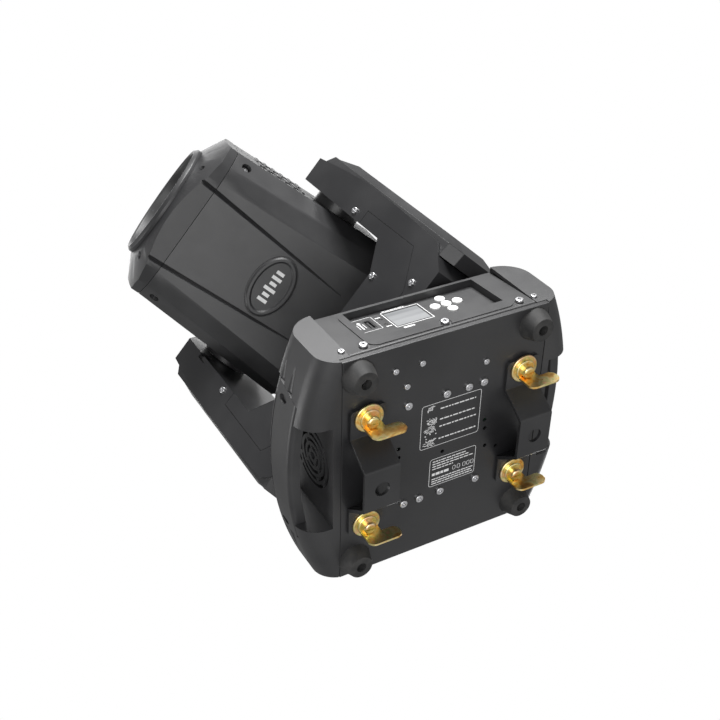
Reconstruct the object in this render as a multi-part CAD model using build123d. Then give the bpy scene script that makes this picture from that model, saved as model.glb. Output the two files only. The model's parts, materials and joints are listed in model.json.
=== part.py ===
from build123d import *
import os
from math import acos, asin, atan2, cos, degrees, hypot, pi, radians, sin, tan

# Moving head light.  Millimetres, +Z up, front (control panel) towards -Y.
# The origin lies on the pan axis, in the plane of the two hanging brackets' outer flats.
# The yoke is drawn with its arms along X and the head upright; both are then turned to their rest pose.

# ---------------------------------------------------------------- driving sizes
rest_pan = -48.1            # yoke angle at rest, degrees about +Z from the base's own X axis
rest_tilt = 63.7            # head angle at rest, degrees from upright towards the yoke's front

bracket_drop = 27.0         # bracket flats below the base plate
foot_height = 12.5
base_height = 70.0          # base plate's underside to the base's top
yoke_gap = 10.0              # base top to yoke underside
tilt_height = 296.8         # base plate's underside to the tilt axis

plate_width = 188.0         # bottom plate, X
plate_depth = 214.0         # bottom plate, Y
sheet = 1.5                 # sheet steel of the base
plate_flange = 4.6
body_width = 169.0          # front and rear panels between the side shells
panel_gap = 0.6             # over the bottom plate's edge
panel_lean = 5.0            # the front panel's top lies this much further back than its foot
shell_wall = 3.0
shell_bulge = 131.0         # side shell's outermost point from the pan axis
shell_end_x = 109.0         # side shell's outer edge at its front and rear ends
shell_round_top = 24.0
shell_round_low = 20.0
grip_half = 50.0            # half length of the hand opening
grip_wall_x = 101.0         # outer face of the wall behind the hand opening
handle_thick = 10.0
handle_low = 18.0           # handle's lower and upper edges above the base plate's underside
handle_high = 61.0

foot_x, foot_y = 80.5, 91.3
foot_base_r, foot_tip_r, foot_bore_r = 14.5, 10.2, 4.4

cam_x = 72.4                # camlock places
cam_pitch = 106.0           # standard camlock pitch along one bracket
bracket_width = 31.5
bracket_sheet = 3.0
bracket_flat = 39.0         # length of the outer flat
bracket_end_y = 62.0
clamp_hole_r = 6.5          # for an M12 clamp bolt
cam_stud_r = 4.0
cam_disc_r = 12.5
cam_step_r = 9.0
cam_head_r = 5.4
cam_wing_reach = 24.0       # the wing is a blade standing off the disc, along X at rest
cam_wing_height = 13.0
cam_wing_thick = 1.8
cam_wing_side = 5.4         # blade's near face from the stud's axis
cam_wing_low = 2.6          # blade's outer edge above the brackets' outer flats

fan_size, fan_depth = 60.0, 15.0
rotor_r, rotor_hub_r = 26.5, 11.0
grille_r = 27.0

control_depth = 5.5         # control plate's face behind the front panel's face, parallel to it
recess_w = 121.5
recess_mid = 2.2            # the recess sits a little to the right
recess_low, recess_high = 20.5, 66.0    # heights on the control plate count up the leaning face
surround_low = 9.3          # lower edge of the raised surround
control_sheet = 2.0
tub_wall = 1.5
tub_back = 6.5              # the recess's walls reach this far behind the control plate's face
button_r = 4.3
button_pitch_x, button_pitch_z = 10.6, 9.8
button_x, button_up = 27.6, 48.9        # centre of the button cross
display_x, display_up = -9.4, 48.7
display_w, display_h = 31.5, 23.0
usb_x, usb_up = -42.6, 50.1
led_x = -31.4

hub_r = 28.0                # fixed pan hub
hub_bore_r = 20.0
pan_bearing_r = 38.0
pan_ring_r = 35.0
pan_pinion_r = 9.0
pan_motor_u = -78.0
running = 0.05              # radial clearance of running fits
belt_thick = 1.6
clear = 0.3                 # clearance between parts of different bodies

arm_inner = 97.5            # inner faces of the arms from the pan axis
arm_depth = 86.0            # front face to rear face
arm_top = 309.0             # top of the arm's flat front face, above the base plate's underside
arm_crest = 332.0           # top of the arm
yoke_floor = 149.0
yoke_wall = 2.0
cover_lip_u = 119.0
cover_mid_u = 131.0
cover_out_u = 138.5
tilt_shaft_r = 14.0
tilt_shaft_bore_r = 9.0
tilt_bearing_r = 21.0
tilt_pulley_r = 30.0
tilt_pinion_r = 7.5
tilt_motor_drop = 112.0     # tilt axis down to the tilt motor's shaft
motor_side = 42.0

head_seam = 113.8           # along the head's axis from the tilt axis: front cover to shells
head_rear = -48.0
head_end = -68.0
head_wall = 3.0
ring_face = 145.0
ring_r, ring_inner_r = 59.5, 54.0
lens_depth = 32.0           # front lens behind the ring's face
badge_h = 21.0              # badge centre along the head's axis
badge_long, badge_short = 31.5, 20.5
badge_rise = 2.6
recess_screw_deep = 6.0     # depth of the shells' screw holes
vent_slots = 5
vent_pitch = 9.5
vent_top = 84.0
vent_rib_rise = 1.2
hub_disc_r = 24.0

screw_r = 3.6               # M4 pan head
small_screw_r = 2.7         # M3 pan head
shank_r = 1.6
screw_bore_r = 1.8
yoke_screw_r = 3.2
seam = 0.4                  # visible joint between neighbouring covers

z_plate = bracket_drop
z_top = z_plate + base_height
z_yoke = z_top + yoke_gap
z_floor = z_plate + yoke_floor
z_tilt = z_plate + tilt_height
y_front = -plate_depth / 2
arm_half = arm_depth / 2


# ---------------------------------------------------------------- helpers
def face_of(points):
    return make_face(Polyline(*points, close=True))


def slab_x(points_yz, x0, x1):
    """Prism along X from an outline in Y, Z."""
    return extrude(Plane.YZ.offset(x0) * face_of(points_yz), x1 - x0)


def slab_y(points_xz, y0, y1):
    """Prism along Y from an outline in X, Z."""
    return extrude(Plane.XZ.offset(-y1) * face_of(points_xz), y1 - y0)


def slab_z(points_xy, z0, z1):
    """Prism along Z from an outline in X, Y."""
    return extrude(Plane.XY.offset(z0) * face_of(points_xy), z1 - z0)


def block(x0, x1, y0, y1, z0, z1):
    return Pos((x0 + x1) / 2, (y0 + y1) / 2, (z0 + z1) / 2) * Box(x1 - x0, y1 - y0, z1 - z0)


def rod_z(r, z0, z1, x=0.0, y=0.0):
    return Pos(x, y, (z0 + z1) / 2) * Cylinder(r, z1 - z0)


def rod_x(r, x0, x1, y=0.0, z=0.0):
    return Pos((x0 + x1) / 2, y, z) * Rot(0, 90, 0) * Cylinder(r, x1 - x0)


def rod_y(r, y0, y1, x=0.0, z=0.0):
    return Pos(x, (y0 + y1) / 2, z) * Rot(90, 0, 0) * Cylinder(r, y1 - y0)


def pipe_z(r_out, r_in, z0, z1, x=0.0, y=0.0):
    return rod_z(r_out, z0, z1, x, y) - rod_z(r_in, z0 - 1, z1 + 1, x, y)


def pipe_x(r_out, r_in, x0, x1, y=0.0, z=0.0):
    return rod_x(r_out, x0, x1, y, z) - rod_x(r_in, x0 - 1, x1 + 1, y, z)


def belt_outline(r_a, r_b, reach):
    """Outline of a belt's inner face round two pulleys, the second one `reach` along +X."""
    wrap = acos((r_a - r_b) / reach)
    corners = [(r_a * cos(wrap), r_a * sin(wrap)), (reach + r_b * cos(wrap), r_b * sin(wrap)),
               (reach + r_b * cos(wrap), -r_b * sin(wrap)), (r_a * cos(wrap), -r_a * sin(wrap))]
    return Circle(r_a) + Pos(reach, 0) * Circle(r_b) + face_of(corners)


def belt(r_a, r_b, reach, width):
    loop = belt_outline(r_a + belt_thick, r_b + belt_thick, reach) - belt_outline(r_a, r_b, reach)
    return Pos(0, 0, -width / 2) * extrude(loop, width)


def pan_screw(length=6.0, head_r=screw_r):
    """Pan-head screw, head on +Z, shank down; the head's underside is at Z 0."""
    head_high = 0.6 * head_r
    head = rod_z(head_r, 0.0, head_high)
    head = fillet(head.edges().group_by(Axis.Z)[-1], 0.4 * head_high)
    arm, width = head_r * 0.55, head_r * 0.15
    cross = block(-arm, arm, -width, width, 0.4 * head_high, head_high + 1)
    cross += block(-width, width, -arm, arm, 0.4 * head_high, head_high + 1)
    cross += rod_z(head_r * 0.3, 0.4 * head_high, head_high + 1)
    return head + rod_z(shank_r, -length, 0.0) - cross


def screws_at(places, turn=Rot(0, 0, 0), length=6.0, head_r=screw_r):
    return [Pos(*place) * turn * pan_screw(length, head_r) for place in places]


def solids(*shapes):
    """Group separate solids in one node."""
    out = []
    for shape in shapes:
        if isinstance(shape, (list, tuple)):
            for item in shape:
                out.extend(item.solids())
        else:
            out.extend(shape.solids())
    return Compound(out)


# ---------------------------------------------------------------- base: sheet metal
small_plate_screws = [(-48.3, -85.7), (-24.5, -86.0), (-37.5, -68.5), (36.2, -69.0)]
plate_screws = [(-20.2, 50.0), (21.0, -49.5)]
plate_screws += [(sx * 35.5, sy * 49.7) for sx in (-1, 1) for sy in (-1, 1)]
plate_screws += [(0.0, -49.7), (0.0, 49.7)]
plate_holes = [(-42.2, -9.0), (-41.8, -0.1), (0.3, 8.6), (40.6, -9.6), (41.5, -0.8), (43.3, 17.9), (54.9, 22.5)]
foot_places = [(sx * foot_x, sy * foot_y) for sx in (-1, 1) for sy in (-1, 1)]
cam_places = {"camlock_left_front": (-cam_x, -cam_pitch / 2), "camlock_right_front": (cam_x, -cam_pitch / 2),
              "camlock_left_rear": (-cam_x, cam_pitch / 2), "camlock_right_rear": (cam_x, cam_pitch / 2)}


def bottom_plate():
    half_w, half_d = plate_width / 2, plate_depth / 2
    tray = block(-half_w, half_w, -half_d, half_d, z_plate, z_plate + plate_flange)
    tray -= block(-half_w + sheet, half_w - sheet, -half_d + sheet, half_d - sheet,
                  z_plate + sheet, z_plate + plate_flange + 1)
    low_edges = tray.edges().filter_by(lambda e: abs(e.center().Z - z_plate) < 0.01)
    tray = fillet(low_edges, 0.8)
    for x, y in foot_places:
        tray -= rod_z(2.2, z_plate - 1, z_plate + sheet + 1, x, y)
    for x, y in cam_places.values():
        tray -= rod_z(cam_stud_r + clear, z_plate - 1, z_plate + sheet + 1, x, y)
    for x, y in plate_screws + small_plate_screws + plate_holes:
        tray -= rod_z(screw_bore_r, z_plate - 1, z_plate + sheet + 1, x, y)
    return tray


def base_top_cover():
    half = body_width / 2
    y0 = y_front + panel_lean + panel_sheet + seam
    y1 = -y_front - rear_sheet - seam
    cover = block(-half, half, y0, y1, z_top - 2.0, z_top)
    rims = block(-half, half, y0, y1, z_top - 8.0, z_top - 2.0)
    rims -= block(-half + sheet, half - sheet, y0 + sheet, y1 - sheet, z_top - 9.0, z_top - 1.0)
    rims -= block(-half - 1, half + 1, -fan_size / 2 - 2, fan_size / 2 + 2, z_top - 9.0, z_top - 2.0)
    rims -= block(-half - 1, half + 1, y0 - 1, y0 + control_depth + tub_back, z_top - 9.0, z_top - 2.0)
    return cover + rims - rod_z(hub_bore_r, z_top - 3, z_top + 1)


# ---------------------------------------------------------------- base: side shells and handles
def shell_radius():
    """Plan radius of the bulged side, through its middle and its two ends."""
    rise = shell_bulge - shell_end_x
    chord = plate_depth / 2
    return (chord * chord + rise * rise) / (2 * rise)


def bulge_face(x_in, inset, y_end):
    """Plan outline between x_in and the bulged side, the bulge moved in by inset."""
    radius = shell_radius() - inset
    centre = shell_bulge - shell_radius()
    x_end = centre + (radius ** 2 - y_end ** 2) ** 0.5
    side = ThreePointArc((x_end, -y_end), (centre + radius, 0), (x_end, y_end))
    rest = Polyline((x_end, y_end), (x_in, y_end), (x_in, -y_end), (x_end, -y_end))
    return make_face([side, rest])


def bulged_block(x_in, inset, y_end, z0, z1, round_top, round_low):
    body = extrude(Plane.XY.offset(z0) * bulge_face(x_in, inset, y_end), z1 - z0)
    arcs = body.edges().filter_by(GeomType.CIRCLE)
    body = fillet(arcs.sort_by(Axis.Z)[-1:], round_top)
    arcs = body.edges().filter_by(GeomType.CIRCLE).filter_by(lambda e: abs(e.center().Z - z0) < 0.01)
    return fillet(arcs, round_low)


def flute(y_sign):
    """Shallow tapering hollow along the corner of a side shell."""
    reach = grip_half + 1.0
    cuts = []
    for z, depth in ((z_plate + 44.0, 2.2), (z_plate + 30.0, 1.8)):
        x_near = shell_bulge - (reach ** 2) / (2 * shell_radius())
        x_far = shell_end_x
        far_y = plate_depth / 2 - 14.0
        near = Plane(origin=(x_near + 4.0, y_sign * reach, z), z_dir=(0, y_sign, 0), x_dir=(1, 0, 0))
        far = Plane(origin=(x_far + 9.0, y_sign * far_y, z + 4.0), z_dir=(0, y_sign, 0), x_dir=(1, 0, 0))
        cuts.append(loft([near * Circle(4.0 + depth), far * Circle(3.2)]))
    return cuts


def fan_grille_slots():
    """Concentric arc slots of the fan grille, cut along X."""
    slots = []
    for i, r in enumerate((26.0, 20.0, 14.0, 8.0)):
        ring = Circle(r + 1.4) - Circle(r - 1.4)
        for k in range(4):
            spoke = Rot(0, 0, 45 + 90 * k + 22 * (i % 2)) * (Pos(r, 0) * Rectangle(8, 2.6))
            ring -= spoke
        slots.append(extrude(Plane.YZ.offset(grip_wall_x - shell_wall - 2) * ring, shell_wall + 4))
    slots.append(rod_x(3.4, grip_wall_x - shell_wall - 2, grip_wall_x + 2))
    return [Pos(0, 0, z_plate + base_height / 2) * slot for slot in slots]


def side_shell():
    """Right-hand side shell: two closed corner pods joined by the wall behind the hand opening."""
    x_in = body_width / 2 + seam
    x_seam = plate_width / 2 + seam
    y_end = plate_depth / 2 + 0.4
    body = bulged_block(x_in, 0.0, y_end, z_plate, z_top, shell_round_top, shell_round_low)
    hollow = bulged_block(x_in - 1, shell_wall, y_end - shell_wall, z_plate + shell_wall, z_top - shell_wall,
                          shell_round_top - shell_wall, shell_round_low - shell_wall)
    keep = block(grip_wall_x - shell_wall, shell_bulge + 5, -grip_half - shell_wall, grip_half + shell_wall,
                 z_plate, z_top)
    body -= hollow - keep
    body -= block(x_in - 2, x_seam, -y_end - 1, y_end + 1, z_plate - 1, z_plate + plate_flange + seam)
    body -= block(grip_wall_x, shell_bulge + 5, -grip_half, grip_half, z_plate - 1, z_top + 1)
    body -= pocket_for_handle()
    body -= rod_y(screw_bore_r, -y_end - 1, -y_end + shell_wall + 1, shell_screw_x, front_screw_z)
    for slot in fan_grille_slots():
        body -= slot
    for y_sign in (-1, 1):
        for cut in flute(y_sign):
            body -= cut
    return body


handle_reach = 74.0         # half length of the handle, tips lapped into the corner pods


def handle_blank(gap, extra):
    """Curved bar that follows the shell's bulge; gap grows it to make its pocket."""
    body = bulged_block(shell_end_x - 30, -extra, plate_depth / 2 - 2, z_plate + handle_low - gap,
                        z_plate + handle_high + gap, 14.0, 4.0)
    inner = extrude(Plane.XY * bulge_face(shell_end_x - 40, handle_thick + gap, plate_depth / 2 + 2), 2 * z_top)
    reach = handle_reach + gap
    nose = [(-reach, z_plate + handle_high - 8), (-reach + 10, z_plate + handle_low - 2),
            (reach - 10, z_plate + handle_low - 2), (reach, z_plate + handle_high - 8),
            (reach - 8, z_top + 5), (-reach + 8, z_top + 5)]
    return (body - inner) & slab_x(nose, shell_end_x - 30, shell_bulge + 10)


def pocket_for_handle():
    return handle_blank(seam, 6.0)


def carry_handle():
    body = handle_blank(0.0, 0.0)
    groove_z = z_plate + handle_high - 12
    groove = bulged_block(shell_end_x - 30, 0.0, 60.0, groove_z, groove_z + 2.4, 0.5, 0.5)
    groove -= extrude(Plane.XY * bulge_face(shell_end_x - 40, 1.2, plate_depth / 2), 2 * z_top)
    body -= groove
    for y, z in handle_screw_places():
        body -= Pos(0, y, z) * Rot(0, 90, 0) * extrude(Ellipse(5.5, 3.4), 300)
    inner = extrude(Plane.XY * bulge_face(shell_end_x - 40, 2.6, plate_depth / 2 + 2), 2 * z_top)
    core = handle_blank(0.0, 0.0) & inner
    return body + core


def handle_screw_places():
    return [(sy * (handle_reach - 13.0), z_plate + handle_high - 22.0) for sy in (-1, 1)]


# ---------------------------------------------------------------- base: front panel and controls
panel_sheet, rear_sheet = 2.6, 2.0
panel_foot = z_plate + plate_flange + panel_gap
front_screw_z = z_plate + 13.4
front_screw_x = (-69.3, recess_mid + 1.0, 73.7)
shell_screw_x = 88.0
lean_angle = degrees(atan2(panel_lean, z_top - panel_foot))


def panel_y(z):
    """The leaning front panel's outer face at height z."""
    return y_front - 0.4 + panel_lean * (z - panel_foot) / (z_top - panel_foot)


# X across, Y into the base and Z up the leaning face, from the height of the base plate's underside
face_place = Pos(0, panel_y(z_plate), z_plate) * Rot(-lean_angle, 0, 0)
control_place = face_place * Pos(0, control_depth, 0)


def surround():
    """Low raised pad round the control recess."""
    width, high = recess_w + 13.0, recess_high + 1.5 - surround_low
    pad = extrude(RectangleRounded(width, high, 9.0), 0.7, both=True)
    return face_place * Pos(recess_mid, 0, surround_low + high / 2) * Rot(90, 0, 0) * pad


def front_panel():
    half = body_width / 2
    outline = [(panel_y(panel_foot), panel_foot), (panel_y(z_top), z_top),
               (panel_y(z_top) + panel_sheet, z_top), (panel_y(panel_foot) + panel_sheet, panel_foot)]
    slab = slab_x(outline, -half, half)
    low = slab.edges().filter_by(Axis.X).sort_by(lambda e: e.center().Y + e.center().Z)[0]
    slab = fillet(low, 2.2)
    x0, x1 = recess_mid - recess_w / 2, recess_mid + recess_w / 2
    tub = block(x0 - tub_wall, x1 + tub_wall, 1.0, control_depth + tub_back,
                recess_low - tub_wall, recess_high + tub_wall)
    opening = block(x0, x1, -3.0, control_depth + tub_back + 1.0, recess_low, recess_high)
    panel = slab + surround() + face_place * tub - face_place * opening
    for x in front_screw_x:
        panel -= rod_y(5.2, y_front - 4, panel_y(front_screw_z) - 0.01, x, front_screw_z)
        panel -= rod_y(screw_bore_r, y_front - 4, y_front + 8, x, front_screw_z)
    return panel


def control_hole(x, up, shape):
    """Cutter through the control plate, drawn in the plate's own plane."""
    return Pos(x, 0, up) * Rot(90, 0, 0) * extrude(shape, control_sheet + 1.0, both=True)


button_offsets = {"button_enter": (0, 0), "button_up": (0, 1), "button_down": (0, -1),
                  "button_left": (-1, 0), "button_right": (1, 0)}


def button_place(name):
    dx, dz = button_offsets[name]
    return button_x + dx * button_pitch_x, button_up + dz * button_pitch_z


led_ups = (display_up + 3.9, display_up - 4.6)
led_r = 1.3


def control_plate():
    plate = block(recess_mid - recess_w / 2 + clear, recess_mid + recess_w / 2 - clear, 0.0, control_sheet,
                  recess_low + clear, recess_high - clear)
    plate -= control_hole(display_x, display_up, Rectangle(display_w, display_h))
    plate -= control_hole(usb_x, usb_up, Rectangle(6.2, 14.2))
    for up in led_ups:
        plate -= control_hole(led_x, up, Circle(led_r + 0.2))
    for name in button_offsets:
        x, up = button_place(name)
        plate -= control_hole(x, up, Circle(button_r + clear))
    return control_place * plate


def display():
    """Window in the control plate on the display module behind it."""
    half_w, half_h = display_w / 2 - 0.2, display_h / 2 - 0.2
    back = control_sheet + 0.1
    glass = block(-half_w, half_w, 0.3, back - 0.1, -half_h, half_h)
    module = block(-half_w - 2.0, half_w + 2.0, back, back + 1.9, -half_h - 2.0, half_h + 2.0)
    spacer = block(-half_w + 3.0, half_w - 3.0, back - 0.3, back + 0.2, -half_h + 3.0, half_h - 3.0)
    return control_place * Pos(display_x, 0, display_up) * (glass + module + spacer)


board_front = control_sheet + 2.1


def usb_port():
    shell = block(-2.9, 2.9, 0.2, board_front, -6.9, 6.9) - block(-2.2, 2.2, -0.5, board_front - 0.7, -6.2, 6.2)
    tongue = block(-0.8, 0.8, 0.8, board_front - 0.5, -5.4, 5.4)
    return control_place * Pos(usb_x, 0, usb_up) * (shell + tongue)


def status_leds():
    return [control_place * rod_y(led_r, 0.4, board_front, led_x, up) for up in led_ups]


def control_board():
    board = block(recess_mid - recess_w / 2 + 5.0, recess_mid + recess_w / 2 - 5.0, board_front + 0.1,
                  board_front + 1.7, recess_low + 4.0, recess_high - 4.0)
    return control_place * board


def button(name):
    """Key cap with a rim behind the plate; it slides along its own axis into the control plate."""
    x, up = button_place(name)
    cap = rod_y(button_r, -1.2, 3.0)
    cap = fillet(cap.edges().sort_by(Axis.Y)[0:1], 0.5)
    rim_y = control_sheet + clear
    rim = rod_y(button_r + 0.45, rim_y, rim_y + 0.7)
    return control_place * Pos(x, 0, up) * (cap + rim)


# ---------------------------------------------------------------- base: rear panel and sockets
power_places = [(-62.0, 36.0), (-30.0, 36.0)]
data_places = [(22.0, 48.5), (52.0, 48.5), (22.0, 20.8), (52.0, 20.8)]
fuse_place = (-5.0, 52.0)
socket_r = 11.9


def rear_panel():
    half = body_width / 2
    y1 = plate_depth / 2
    panel = block(-half, half, y1 - rear_sheet, y1, panel_foot, z_top)
    for x, z in power_places + data_places:
        panel -= rod_y(socket_r + 0.1, y1 - 4, y1 + 2, x, z_plate + z)
    x, z = fuse_place
    return panel - rod_y(6.1, y1 - 4, y1 + 2, x, z_plate + z)


def socket_body(x, z, flange_w, flange_h, pins, pin_ring):
    """Round chassis socket with a square flange, pin bores ring-wise in its face."""
    y1 = plate_depth / 2
    flange = block(x - flange_w / 2, x + flange_w / 2, y1, y1 + 2.0, z - flange_h / 2, z + flange_h / 2)
    body = flange + rod_y(socket_r, y1 - 18.0, y1 + 0.5, x, z)
    body -= rod_y(socket_r - 2.2, y1 - 12.0, y1 + 3.0, x, z) - rod_y(socket_r - 3.8, y1 - 12.0, y1 + 1.2, x, z)
    for k in range(pins):
        angle = 2 * pi * k / pins + pi / 2
        body -= rod_y(1.3, y1 - 6.0, y1 + 3.0, x + pin_ring * cos(angle), z + pin_ring * sin(angle))
    return body


def power_sockets():
    return [socket_body(x, z_plate + z, 27.0, 32.0, 3, 4.6) for x, z in power_places]


def data_sockets():
    return [socket_body(x, z_plate + z, 26.0, 27.0, pins, 4.4)
            for (x, z), pins in zip(data_places, (3, 3, 5, 5))]


def fuse_holder():
    x, z = fuse_place
    z += z_plate
    y1 = plate_depth / 2
    body = rod_y(6.0, y1 - 24.0, y1 + 0.5, x, z) + rod_y(8.0, y1, y1 + 3.0, x, z)
    return body - block(x - 4, x + 4, y1 + 2.0, y1 + 4.0, z - 0.8, z + 0.8)


# ---------------------------------------------------------------- base: feet, brackets, camlocks
def rubber_feet():
    feet = []
    for x, y in foot_places:
        foot = Pos(x, y, z_plate) * Rot(180, 0, 0) * Cone(foot_base_r, foot_tip_r, foot_height,
                                                         align=(Align.CENTER, Align.CENTER, Align.MIN))
        foot = fillet(foot.edges().filter_by(lambda e: abs(e.center().Z - z_plate + foot_height) < 0.01), 0.8)
        foot -= rod_z(foot_bore_r, z_plate - foot_height - 1, z_plate - 4.0, x, y)
        foot -= rod_z(1.7, z_plate - 5, z_plate + 1, x, y)
        feet.append(foot)
    return feet


def omega_bracket(x):
    """Hat-shaped hanging bracket: two flanges under the plate and a raised flat with the clamp hole."""
    knee = bracket_flat / 2
    foot = 36.0
    t = bracket_sheet
    slope = hypot(foot - knee, bracket_drop - t)
    shift = t * (slope - (foot - knee)) / (bracket_drop - t) if bracket_drop > t else 0.0
    half = [(0, 0), (knee, 0), (foot, bracket_drop - t), (bracket_end_y, bracket_drop - t),
            (bracket_end_y, bracket_drop), (foot - shift, bracket_drop), (knee - shift, t), (0, t)]
    outline = half + [(-y, z) for y, z in reversed(half) if y > 0]
    bracket = slab_x(outline, x - bracket_width / 2, x + bracket_width / 2)
    bracket -= rod_z(clamp_hole_r, -1, t + 1, x, 0.0)
    for sy in (-1, 1):
        bracket -= rod_z(cam_stud_r + clear, bracket_drop - t - 1, bracket_drop + 1, x, sy * cam_pitch / 2)
    corners = bracket.edges().filter_by(Axis.Z).filter_by(lambda e: abs(e.center().Y) > bracket_end_y - 1)
    bracket = fillet(corners, 4.0)
    bends = bracket.edges().filter_by(Axis.X).filter_by(lambda e: abs(e.center().Z) < 0.01)
    return fillet(bends, 3.0)


def omega_brackets():
    return [omega_bracket(-cam_x), omega_bracket(cam_x)]


def cam_wing(z_disc):
    """Blade of a quarter-turn fastener, standing off its disc beside the slotted head."""
    z_low = cam_wing_low
    z_high = z_low + cam_wing_height
    root = cam_step_r + 1.0
    outline = [(-root * 0.65, z_disc), (-root * 0.65, z_low), (cam_wing_reach, z_low),
               (cam_wing_reach, z_high), (root, z_high), (root, z_disc)]
    blade = slab_y(outline, cam_wing_side, cam_wing_side + cam_wing_thick)
    across = blade.edges().filter_by(Axis.Y)
    tip = across.filter_by(lambda e: e.center().X > cam_wing_reach - 0.1)
    blade = fillet(tip, cam_wing_height * 0.45)
    corner = blade.edges().filter_by(Axis.Y).sort_by(lambda e: e.center().X + e.center().Z)[0]
    return fillet(corner, cam_wing_height * 0.45)


def camlock(x, y):
    """Quarter-turn fastener: stud with a cross pin, stepped washer, slotted screw head and wing."""
    z0 = bracket_drop - bracket_sheet - clear
    stud = rod_z(cam_stud_r, z0 - 7.0, z_plate + sheet + 5.5)
    pin = rod_x(1.4, -7.0, 7.0, 0.0, z_plate + sheet + 3.4)
    disc = rod_z(cam_disc_r, z0 - 1.6, z0)
    disc = fillet(disc.edges().sort_by(Axis.Z)[0:1], 1.0)
    step = rod_z(cam_step_r, z0 - 3.6, z0 - 1.0)
    step = fillet(step.edges().sort_by(Axis.Z)[0:1], 1.2)
    head = rod_z(cam_head_r, z0 - 8.8, z0 - 3.0)
    head = fillet(head.edges().sort_by(Axis.Z)[0:1], 1.8)
    slot = block(-cam_head_r - 1, cam_head_r + 1, -0.9, 0.9, z0 - 9.4, z0 - 7.2)
    body = disc + step + head + stud + pin + cam_wing(z0 - 0.8)
    return Pos(x, y, 0) * (body - slot)


# ---------------------------------------------------------------- base: insides
def fan_frame(side):
    z = z_plate + base_height / 2
    x0 = grip_wall_x - shell_wall - 1.5 - fan_depth
    frame = block(x0, x0 + fan_depth, -fan_size / 2, fan_size / 2, z - fan_size / 2, z + fan_size / 2)
    frame -= rod_x(rotor_r + 1.2, x0 - 1, x0 + fan_depth + 1, 0.0, z)
    spider = rod_x(rotor_hub_r, x0, x0 + 2.0, 0.0, z)
    for k in range(3):
        arm = block(x0, x0 + 2.0, -1.5, 1.5, 5.0, rotor_r + 2.5)
        spider += Pos(0, 0, z) * Rot(120 * k + 30, 0, 0) * arm
    frame += spider
    return frame if side > 0 else mirror(frame, Plane.YZ)


def fan_rotor(side):
    z = z_plate + base_height / 2
    x0 = grip_wall_x - shell_wall - 1.5 - fan_depth
    rotor = rod_x(rotor_hub_r, x0 + 2.5, x0 + fan_depth - 0.8)
    for k in range(7):
        blade = Pos(x0 + fan_depth / 2 + 1.0, 0, (rotor_hub_r + rotor_r) / 2 - 0.5) * Rot(0, 0, 38) * Box(
            10.0, 1.4, rotor_r - rotor_hub_r + 1.0)
        rotor += Rot(360 / 7 * k, 0, 0) * blade
    rotor &= rod_x(rotor_r, x0 + 2.5, x0 + fan_depth - 0.8)
    rotor = Pos(0, 0, z) * rotor
    return rotor if side > 0 else mirror(rotor, Plane.YZ)


def power_supply():
    return block(-52.0, 40.0, 8.0, 74.0, z_plate + 6.0, z_plate + 44.0)


def driver_board():
    return block(-70.0, 62.0, -70.0, 0.0, z_plate + 10.0, z_plate + 11.6)


def base_screws():
    """All the visible pan-head screws of the base."""
    down = Rot(180, 0, 0)
    forward = Rot(90, 0, 0)
    out = screws_at([(x, y, z_plate) for x, y in plate_screws], down, 4.0)
    out += screws_at([(x, y, z_plate) for x, y in small_plate_screws], down, 4.0, small_screw_r)
    out += screws_at([(x, y, z_plate - 4.0) for x, y in foot_places], down, 9.0)
    out += screws_at([(x, panel_y(front_screw_z) - 0.3, front_screw_z) for x in front_screw_x], forward, 2.0)
    ends = [(sx * shell_screw_x, y_front - 0.4, front_screw_z) for sx in (-1, 1)]
    return out + screws_at(ends, forward, 2.0, small_screw_r)


# ---------------------------------------------------------------- pan drive
def pan_hub():
    flange = rod_z(50.0, z_top, z_top + 3.0)
    tube = rod_z(hub_r, z_top, z_yoke + 27.0)
    return flange + tube - rod_z(hub_bore_r, z_top - 1, z_yoke + 30)


def pan_bearing():
    return pipe_z(pan_bearing_r, hub_r + running, z_yoke + 0.3, z_yoke + 9.0)


def pan_ring_pulley():
    z0 = z_yoke + 12.0
    ring = pipe_z(pan_ring_r, hub_r + 0.02, z0, z0 + 12.0)
    rims = pipe_z(pan_ring_r + 2.5, hub_r + 0.02, z0, z0 + 1.0) + pipe_z(pan_ring_r + 2.5, hub_r + 0.02,
                                                                       z0 + 11.0, z0 + 12.0)
    return ring + rims


pan_belt_z = 18.0           # belt centre above the yoke's underside


def pan_belt():
    loop = belt(pan_ring_r + clear, pan_pinion_r + clear, -pan_motor_u, 8.0)
    return Pos(0, 0, z_yoke + pan_belt_z) * Rot(0, 0, 180) * loop


def motor(height):
    """Stepper motor, shaft side up at Z 0; square body with cut corners and a pilot boss."""
    half, cut = motor_side / 2, 5.0
    outline = [(half - cut, half), (-half + cut, half), (-half, half - cut), (-half, -half + cut),
               (-half + cut, -half), (half - cut, -half), (half, -half + cut), (half, half - cut)]
    return slab_z(outline, -height, 0.0) + rod_z(11.0, -0.5, 1.8)


def pan_motor():
    body = Pos(pan_motor_u, 0, z_yoke + 27.0) * Rot(180, 0, 0) * motor(33.0)
    return body - rod_z(2.6, z_yoke + 22, z_yoke + 40, pan_motor_u)


def pan_pinion():
    z0 = z_yoke + 12.0
    wheel = rod_z(pan_pinion_r, z0 + 1, z0 + 11) + rod_z(pan_pinion_r + 1.2, z0, z0 + 1)
    shaft = rod_z(2.5, z0, z0 + 26.0)
    return Pos(pan_motor_u, 0, 0) * (wheel + shaft)


# ---------------------------------------------------------------- yoke
arm_outline = [(arm_inner, arm_crest), (121.0, arm_crest), (122.5, arm_top), (128.0, 262.0), (131.0, 222.0),
               (130.2, 170.0), (127.5, 104.0), (108.0, 80.0)]


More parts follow.
